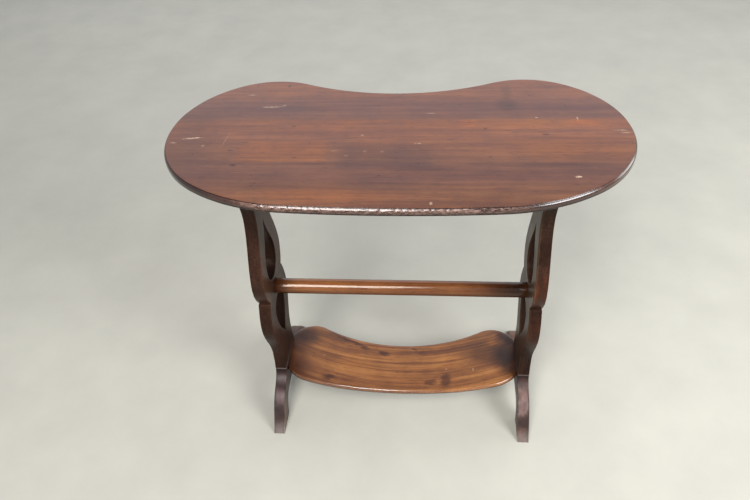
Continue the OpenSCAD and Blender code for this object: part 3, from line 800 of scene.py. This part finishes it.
# Rings across the thickness, where the wood was worked by hand
def sideRings(board, loop, ways, xLow, xHigh, marks):
    wearAndHighlightAt, shadeAndGrimeAt, holeShade = marks
    rings = []
    for share in (0.75, 0.5, 0.25):
        ring = []
        for p, way in zip(loop, ways):
            uneven = max(0.0, noise.noise(Vector((p.x * 30, p.y * 30, share * 3))))
            q = p + way * uneven * boardLook["wobble"] * mm
            wearAndHighlight = wearAndHighlightAt(q.x, q.y) * boardLook["sideWear"]
            shadeAndGrime = max(shadeAndGrimeAt(q.x, q.y), holeShade)
            addPoint(board, ring, (xLow + (xHigh - xLow) * share, q.x, q.y), wearAndHighlight, shadeAndGrime)
        rings.append(ring)
    return rings


# Board from closed (y, z) loops, between two x planes, with worn arrises
def standBoard(loops, xLow, xHigh, wearAndHighlightAt, shadeAndGrimeAt=lambda y, z: 0.0):
    board = newBoard()
    highCap, lowCap = [], []
    for number, loop in enumerate(loops):  # the first loop is the outline, the others are openings
        marks = (wearAndHighlightAt, shadeAndGrimeAt, boardLook["holeShade"] if number else 0.0)
        loop = easeLoop(loop, boardLook["corner"])
        ways = intoWood(loop)
        high = arrisRings(board, loop, ways, xHigh, -1, marks)
        low = arrisRings(board, loop, ways, xLow, 1, marks)
        joinRings(board, high + sideRings(board, loop, ways, xLow, xHigh, marks) + list(reversed(low)))
        highCap.append(high[0])
        lowCap.append(low[0])
    for cap in (highCap, lowCap):
        edges = []
        for ring in cap:
            edges += [board.edges.get((ring[i], ring[(i + 1) % len(ring)])) for i in range(len(ring))]
        bmesh.ops.triangle_fill(board, use_beauty=True, edges=edges)
    return board


# Lyre ends: heights and widths in millimetres, as on the drawing of the board
lyreShape = {
    "ankle": 102, "waist": (93, 155), "lowerLobe": (159, 270), "ledge": 127, "notch": (116, 332),
    "upperLobe": (161, 389), "neck": (80, 542), "head": 152,
    "upperHole": {"width": 78, "length": 151.5, "round": 42.5, "full": 0.25, "over": 15.5},
    "lowerHole": {"width": 76, "length": 122, "round": 31, "full": 1, "under": 5},
    "rodDiameter": 32.5, "steps": 30}
# Where the ends are worn, where a highlight is painted on the ledge, where the top's shadow is painted on
# the front of the neck, and where they are darker and duller below the notch
lyreMarks = {
    "ledge": (6, 1), "ledgeFront": (-45, -55), "rubbedUnder": (640, 540), "shadowAbove": (500, 640),
    "shadowFront": (0, -30), "dullUnder": (335, 325)}


# Drop-shaped opening: a round end at the stretcher and a long tip away from it
def openingLoop(hole, start, way):
    steps = lyreShape["steps"]
    reach, width, full = hole["round"], hole["width"] / 2, hole["full"]
    half = []
    for i in range(steps):
        angle = pi / 2 * i / steps
        half.append((width * sin(angle), start + way * reach * (1 - cos(angle))))
    for i in range(steps):
        share = full * cos(pi / 2 * i / steps) + (1 - full) * (1 - smoothstep(0, 1, i / steps))
        half.append((width * share, start + way * (reach + (hole["length"] - reach) * i / steps)))
    half.append((0, start + way * hole["length"]))
    loop = mirroredLoop(half)
    return list(reversed(loop)) if way > 0 else loop


def makeLyre(side, cadNode, name):
    low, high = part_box(cadNode)
    rodLow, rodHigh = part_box("stretcher")
    steps = lyreShape["steps"]
    rodZ = (rodLow.z + rodHigh.z) / 2 / mm
    ankleZ, headZ = low.z / mm, high.z / mm
    ankle, ledge, head = [lyreShape[key] / 2 for key in ("ankle", "ledge", "head")]
    (waist, waistZ), (lower, lowerZ), (notch, notchZ), (upper, upperZ), (neck, neckZ) = [
        (lyreShape[key][0] / 2, lyreShape[key][1])
        for key in ("waist", "lowerLobe", "notch", "upperLobe", "neck")]
    half = swell(ankleZ, ankle, waistZ, waist, steps) + swing(waistZ, waist, lowerZ, lower, steps)
    half.append((lower, lowerZ))
    half += list(reversed(swell(notchZ, ledge, lowerZ, lower, steps)))
    half += swell(notchZ, notch, upperZ, upper, steps) + swing(upperZ, upper, neckZ, neck, steps)
    half += swing(neckZ, neck, headZ, head, steps)
    half.append((head, headZ))
    radius = lyreShape["rodDiameter"] / 2
    loops = [mirroredLoop(half),
             openingLoop(lyreShape["upperHole"], rodZ + radius + lyreShape["upperHole"]["over"], 1),
             openingLoop(lyreShape["lowerHole"], rodZ - radius - lyreShape["lowerHole"]["under"], -1)]

    def wearAndHighlightAt(y, z):
        # painted highlight along the top of the ledge at the front; the rubbed arrises below are real wear
        ledgeHighlight = fade(lyreMarks["ledge"], abs(z - notchZ * mm)) * fade(lyreMarks["ledgeFront"], y)
        rubbed = 0.35 + 0.65 * smoothstep(0.2, -0.4, noise.noise(Vector((y * 20, z * 20, side))))
        return max(ledgeHighlight, rubbed * fade(lyreMarks["rubbedUnder"], z))

    # painted shadow of the top on the front of the neck; darker and duller below the notch
    def shadeAndGrimeAt(y, z):
        neckShadow = fade(lyreMarks["shadowAbove"], z) * fade(lyreMarks["shadowFront"], y)
        return max(neckShadow, 0.5 * fade(lyreMarks["dullUnder"], z))

    board = standBoard(loops, low.x, high.x, wearAndHighlightAt, shadeAndGrimeAt)
    inner = min(abs(low.x), abs(high.x))
    drills = (tenonDrill(side, inner), nodeDrill("head_dowels"), nodeDrill("ankle_dowels"))
    finishPiece(name, board, [endWood], cadNode, drills)


makeLyre(-1, "lyre_left", "left_lyre")
makeLyre(1, "lyre_right", "right_lyre")
print("lyre ends made")


# Feet: handles are offsets from the points that they belong to
footShape = {
    "ankle": 102, "instep": (84, 75), "toe": 29.5, "knuckle": 37, "pad": 62, "arch": 45, "crown": 110,
    "anklePull": (0.5, -15), "instepUp": (-22, 7), "instepDown": (20, -7), "knucklePull": (10, -13),
    "toePull": (-15, 16), "steps": 24}
# Where the feet are worn, where a highlight is painted along the ankle's joint and where shade is painted
# under it; the joint, the line and the band of painted shade count down from the ankle's joint
footMarks = {
    "toe": (30, 0), "toeOut": (110, 140), "front": (-42, -49),
    "joint": (3, 0.5), "line": (4, 2), "shadeBand": (16, 6)}


def plus(a, b, share=1):
    return a[0] + b[0] * share, a[1] + b[1] * share


def footHalf(tip, ankleZ):
    steps = footShape["steps"]
    ankle, instep = (footShape["ankle"] / 2, ankleZ), footShape["instep"]
    knuckle, toe = (tip - footShape["toe"], footShape["knuckle"]), (tip, 0)
    half = []
    for start, pullOut, stop, pullIn in (
            (ankle, footShape["anklePull"], instep, footShape["instepUp"]),
            (instep, footShape["instepDown"], knuckle, plus((0, 0), footShape["knucklePull"], -1)),
            (knuckle, footShape["knucklePull"], toe, footShape["toePull"])):
        half += bezier(start, plus(start, pullOut), plus(stop, pullIn), stop, steps)
    half.append(toe)
    spring = tip - footShape["pad"] - footShape["crown"] / 2
    for i in range(steps + 1):
        angle = pi / 2 * i / steps
        half.append((footShape["crown"] / 2 + spring * cos(angle), footShape["arch"] * sin(angle)))
    return half


def makeFoot(cadNode, name):
    low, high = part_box(cadNode)
    back = footHalf(high.y / mm, high.z / mm)
    front = [(-y, z) for y, z in reversed(footHalf(-low.y / mm, high.z / mm))]
    loop = [Vector((y * mm, z * mm)) for y, z in reversed(back + front)]

    def wearAndHighlightAt(y, z):
        toe = fade(footMarks["toe"], z) * fade(footMarks["toeOut"], abs(y))
        # painted highlight: a light line along the front of the ankle's joint
        joint = fade(footMarks["joint"], high.z - z) * fade(footMarks["front"], y)
        return 0.04 + max(0.8 * toe, 0.55 * joint)

    # painted shade: a dark band under the ankle's joint, left out along the painted highlight line
    def shadeAndGrimeAt(y, z):
        line = fade(footMarks["line"], high.z - z) * fade(footMarks["front"], y)
        return 0.85 * fade(footMarks["shadeBand"], high.z - z) * (1 - line)

    board = standBoard([loop], low.x, high.x, wearAndHighlightAt, shadeAndGrimeAt)
    drills = (nodeDrill("ankle_dowels"), nodeDrill("shelf_dowels"))
    finishPiece(name, board, [footWood], cadNode, drills)


makeFoot("foot_left", "left_foot")
makeFoot("foot_right", "right_foot")
print("feet made")


# Bearers: battens under the top with a bevel under each end
bearerShape = {"bevel": 5, "knotStep": 10}


def makeBearer(cadNode, name):
    low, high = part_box(cadNode)
    half, bevel = high.y / mm, bearerShape["bevel"]
    bottom, top = low.z / mm, high.z / mm
    count = int(2 * half / bearerShape["knotStep"])
    corners = [(-half, top), (-half, bottom + bevel), (-half + bevel, bottom)]
    corners += [(-half + bevel + (2 * half - 2 * bevel) * i / count, bottom) for i in range(1, count)]
    corners += [(half - bevel, bottom), (half, bottom + bevel), (half, top)]
    corners += [(half - 2 * half * i / count, top) for i in range(1, count)]
    loop = [Vector((y * mm, z * mm)) for y, z in corners]
    board = standBoard([loop], low.x, high.x, lambda y, z: 0.3)
    drills = (nodeDrill("head_dowels"), nodeDrill("bearer_screws"))
    finishPiece(name, board, [footWood], cadNode, drills)


makeBearer("bearer_left", "left_bearer")
makeBearer("bearer_right", "right_bearer")
print("bearers made")


# Stretcher

def makeStretcher():
    low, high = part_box("stretcher")
    centre = (low.z + high.z) / 2
    radius = (high.z - low.z) / 2
    tenon, shoulder = rodShape["tenon"] * mm / 2, high.x - rodShape["tenonLength"] * mm
    ease = rodShape["ease"] * mm
    line = [(-high.x, tenon - ease), (-high.x + ease, tenon), (-shoulder - 0.3 * mm, tenon),
            (-shoulder, tenon), (-shoulder, radius - ease),
            (-shoulder + ease * 0.3, radius - ease * 0.3), (-shoulder + ease, radius)]
    count = rodShape["rings"]
    line += [(-shoulder + ease + (2 * shoulder - 2 * ease) * i / count, radius) for i in range(1, count)]
    line += [(-x, r) for x, r in reversed(line[:7])]
    board = newBoard()
    rings = []
    for x, r in line:
        ring = []
        for i in range(rodShape["sides"]):
            angle = 2 * pi * i / rodShape["sides"]
            way = Vector((0, cos(angle), sin(angle)))
            dip = 0.0
            if r > radius - 1e-6:
                uneven = noise.noise(Vector((x * 9, way.y * 1.2, way.z * 1.2)))
                dip = max(0.0, uneven) * rodShape["wobble"] * mm
            q = way * (r - dip)
            # painted shade: darker and duller near the shoulders, where the rod meets the ends, and on its
            # underside
            near = fade(rodShape["shadeBand"], shoulder - abs(x))
            shadeAndGrime = max(0.9 * near, 0.85 * smoothstep(0.65, -0.4, way.z))
            addPoint(board, ring, (x, q.y, centre + q.z), 0.1, shadeAndGrime)
        rings.append(ring)
    joinRings(board, rings)
    capRings(board, rings)
    finishPiece("round_stretcher", board, [rodWood], "stretcher")


makeStretcher()
print("stretcher made")


# Shelf: a kidney outline with a rounded nose, sawn off at the feet
shelfShape = {
    "bow": 18.6, "turnLength": 82, "endBack": 16.6, "endLess": 7, "lobeLess": 31, "hollow": 57, "over": 17,
    "nose": 5, "forward": 1.5, "shadeBand": (20, 0), "step": 2.5, "depth": 190}


def makeShelf():
    low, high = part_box("shelf")
    width = 2 * (high.x + shelfShape["over"] * mm)
    thickness = (high.z - low.z) / mm
    outline = kidneyOutline(width, shelfShape["depth"] * mm, shelfShape, shelfShape["step"] * mm)
    board = newBoard()
    rings = []
    nose = shelfShape["nose"]
    edge = [(nose + 4, 0, 0.0)]
    for i in range(17):
        angle = pi * i / 16
        edge.append((nose * (1 - sin(angle)), thickness / 2 * (1 - cos(angle)), sin(angle)))
    edge.append((nose + 4, thickness, 0.0))
    for inset, drop, wearAndHighlight in edge:
        ring = []
        for p, n in outline:
            dent = max(0.0, noise.noise(Vector((p.x * 60, p.y * 60, drop * 0.2)))) * 0.5 * wearAndHighlight
            q = p - n * (inset + dent) * mm
            place = (q.x, q.y - shelfShape["forward"] * mm, high.z - drop * mm)
            # painted shade: darker and duller near the ends next to the feet, and under the nose
            near = fade(shelfShape["shadeBand"], high.x - abs(q.x))
            below = smoothstep(0.35, 0.65, drop / thickness)
            addPoint(board, ring, place, 0.25 * wearAndHighlight, max(0.6 * near, 0.9 * below))
        rings.append(ring)
    joinRings(board, rings)
    capRings(board, rings)
    bmesh.ops.recalc_face_normals(board, faces=board.faces)
    for way in (-1, 1):
        sawOff(board, (way * high.x, 0, 0), (way, 0, 0))
    for face in board.faces:
        if face.normal.z < -0.9:
            face.material_index = 1
        elif face.normal.z < 0.98:
            face.material_index = 2
    materials = [shelfWood, underWood, noseWood]
    finishPiece("kidney_shelf", board, materials, "shelf", (nodeDrill("shelf_dowels"),))


makeShelf()
print("shelf made")


# Dowels and screws keep their own solids
for nodeName in ("top_dowels", "head_dowels", "ankle_dowels", "shelf_dowels", "bearer_screws"):
    node = cadNodes[nodeName]
    material = screwSteel if nodeName == "bearer_screws" else dowelWood
    if len(node.material_slots) == 0:
        node.data.materials.append(material)
    for slot in node.material_slots:
        slot.material = material


# Floor, lights and camera; the stage and its camera are in metres
stageLook = {"floor": (0.51, 0.50, 0.435), "floorSize": 12, "air": (0.88, 0.90, 0.96), "airStrength": 0.42}


def makeFloor():
    half = stageLook["floorSize"] / 2
    sheet = bmesh.new()
    corners = ((-half, -half, 0), (half, -half, 0), (half, half, 0), (-half, half, 0))
    sheet.faces.new([sheet.verts.new(place) for place in corners])
    mesh = bpy.data.meshes.new("floor")
    sheet.to_mesh(mesh)
    sheet.free()
    floor = bpy.data.objects.new("floor", mesh)
    bpy.context.scene.collection.objects.link(floor)
    material = bpy.data.materials.new("paleFloor")
    material.use_nodes = True
    tree = material.node_tree
    shader = tree.nodes["Principled BSDF"]
    place = put(tree, "TexCoord").outputs["Object"]
    cloud = noiseAt(tree, place, 5.0, 5.0, 0.6)
    r, g, b = stageLook["floor"]
    stops = [(0.3, (r * 0.94, g * 0.94, b * 0.94)), (0.7, (r * 1.05, g * 1.05, b * 1.04))]
    feed(tree, ramp(tree, cloud, stops), shader.inputs["Base Color"])
    shader.inputs["Roughness"].default_value = 0.8
    mesh.materials.append(material)


def softLight(name, place, aim, size, power, colour):
    data = bpy.data.lights.new(name, "AREA")
    data.shape = "RECTANGLE"
    data.size, data.size_y = size
    data.energy = power
    data.color = colour
    lamp = bpy.data.objects.new(name, data)
    bpy.context.scene.collection.objects.link(lamp)
    lamp.location = place
    lamp.rotation_euler = (Vector(aim) - Vector(place)).to_track_quat("-Z", "Y").to_euler()
    lamp.visible_camera = False


makeFloor()
softLight("frontWindow", (-0.64, -2.2, 2.75), (0, 0, 0.35), (1.1, 1.8), 93, (1.0, 0.98, 0.96))
softLight("cornerWindow", (1.96, -1.26, 1.84), (0.3, -0.15, 0.69), (1.3, 1.0), 62, (0.97, 0.98, 1.0))
softLight("backWall", (0.0, 2.6, 1.5), (0, 0, 0.7), (5.0, 2.2), 30, (0.90, 0.92, 1.0))
softLight("rightWindow", (2.75, 0.8, 1.2), (0.36, -0.1, 0.69), (1.3, 1.1), 18, (1.0, 0.99, 0.97))

world = bpy.data.worlds.new("air")
bpy.context.scene.world = world
world.use_nodes = True
world.node_tree.nodes["Background"].inputs["Color"].default_value = (*stageLook["air"], 1)
world.node_tree.nodes["Background"].inputs["Strength"].default_value = stageLook["airStrength"]

# The photograph was taken from in front and above, turned a little to the left and tilted
view = {"place": (0.0637, -0.9766, 1.3147), "down": 41.93, "turn": -6.43, "tilt": -3.56, "lens": 31.63}


def makeCamera():
    down, turn, tilt = radians(view["down"]), radians(view["turn"]), radians(view["tilt"])
    ahead = Vector((sin(turn) * cos(down), cos(turn) * cos(down), -sin(down)))
    right = Vector((cos(turn), -sin(turn), 0))
    up = right.cross(ahead)
    tilted = right * cos(tilt) + up * sin(tilt)
    tiltedUp = up * cos(tilt) - right * sin(tilt)
    data = bpy.data.cameras.new("camera")
    data.lens = view["lens"]
    data.sensor_width = 36
    camera = bpy.data.objects.new("camera", data)
    bpy.context.scene.collection.objects.link(camera)
    matrix = camera.matrix_world.copy()
    for row in range(3):
        matrix[row][0] = tilted[row]
        matrix[row][1] = tiltedUp[row]
        matrix[row][2] = -ahead[row]
        matrix[row][3] = view["place"][row]
    camera.matrix_world = matrix
    bpy.context.scene.camera = camera


makeCamera()
bpy.context.scene.view_settings.view_transform = "Standard"
print("stage made")
